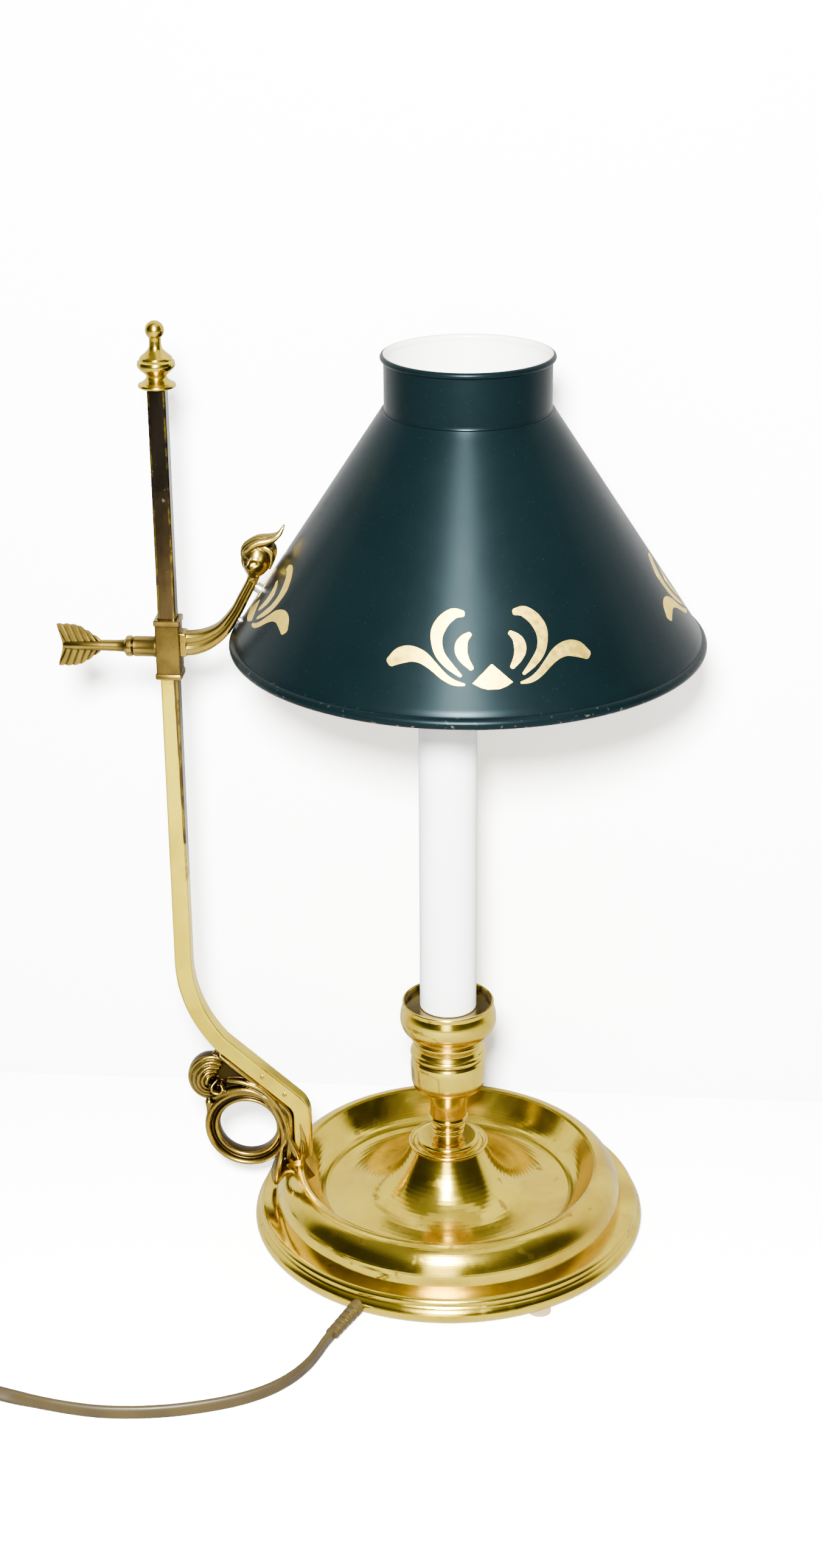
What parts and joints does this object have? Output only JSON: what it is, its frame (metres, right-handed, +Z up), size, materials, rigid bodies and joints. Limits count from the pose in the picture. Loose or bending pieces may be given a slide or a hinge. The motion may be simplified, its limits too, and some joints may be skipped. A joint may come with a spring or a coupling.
{
  "type": "bouillotte lamp",
  "caption": "Table lamp with a spun brass pan foot, a candle-shaped light on a turned stem, and a painted metal shade on a carriage that slides on a square side rod.",
  "frame": {"origin": "on the table, under the axis of the candle", "axes": "+Z up, -X towards the square rod that carries the shade, -Y towards the viewer"},
  "size_m": [0.357, 0.2329, 0.3714],
  "materials": {
    "polished_brass": "polished, lightly worn",
    "rod_brass": "tarnished above, bright below",
    "aged_brass": "antique, dark in the hollows",
    "contact_brass": "plain",
    "shade_paint": "satin dark green enamel, gold ornaments, white inside",
    "candle_white": "satin",
    "bulb_glass": "frosted",
    "zinc_steel": "zinc plated",
    "iron": "as cast",
    "felt": "felt",
    "phenolic": "moulded",
    "cord_brown": "satin vinyl",
    "switch_brown": "moulded, glossy",
    "wheel_black": "ribbed",
    "tie_black": "soft"
  },
  "bodies": {
    "root": {"base_shell": "polished_brass", "base_weight": "iron", "felt_pad": "felt", "strain_relief": "cord_brown", "inner_cord": "cord_brown", "feed_wires": "cord_brown", "dish_collar": "polished_brass", "neck": "polished_brass", "urn": "polished_brass", "candle_cup": "polished_brass", "threaded_pipe": "zinc_steel", "pipe_nut": "zinc_steel", "pipe_washer": "zinc_steel", "cup_nut": "zinc_steel", "socket_bracket": "zinc_steel", "socket_body": "phenolic", "socket_thread": "contact_brass", "center_contact": "contact_brass", "terminal_screws": "contact_brass", "candle_sleeve": "candle_white", "bulb_base": "zinc_steel", "bulb_glass": "bulb_glass", "rod": "rod_brass", "rod_saddle": "polished_brass", "finial": "aged_brass", "ring_handle": "aged_brass", "handle_pins": "aged_brass", "cord_lead": "cord_brown", "cord_run": "cord_brown", "cord_tail": "cord_brown", "cord_coil": "cord_brown", "coil_tie": "tie_black", "plug_body": "switch_brown", "plug_blades": "contact_brass", "switch_base": "switch_brown", "switch_cover": "switch_brown", "switch_contact": "contact_brass", "switch_wires": "cord_brown", "switch_screw": "zinc_steel"},
    "carriage": {"carriage_block": "aged_brass", "arm_figure": "aged_brass", "shade": "shade_paint", "shade_screws": "zinc_steel", "shade_spacers": "zinc_steel"},
    "clamp_shoe": {"clamp_shoe": "contact_brass"},
    "thumb_screw": {"thumb_screw": "aged_brass"},
    "switch_wheel": {"switch_wheel": "wheel_black"}
  },
  "joints": [
    {"name": "carriage_slide", "type": "slide", "parent": "root", "child": "carriage", "axis": [0, 0, 1], "range_m": [-0.12, 0.087]},
    {"name": "shoe_slide", "type": "slide", "parent": "carriage", "child": "clamp_shoe", "axis": [-1, 0, 0], "range_m": [0, 0.0012]},
    {"name": "thumb_turn", "type": "hinge", "parent": "clamp_shoe", "child": "thumb_screw", "pos_m": [-0.13, 0, 0.2472], "axis": [-1, 0, 0], "range_deg": [0, 540]},
    {"name": "switch_wheel_turn", "type": "hinge", "parent": "root", "child": "switch_wheel", "pos_m": [-0.19825, -0.12915, 0.0085], "axis": [0, 0, 1], "continuous": true}
  ],
  "couplings": [
    {"joint": "shoe_slide", "follows": "thumb_turn", "m_per_rad": 0.0001273}
  ]
}
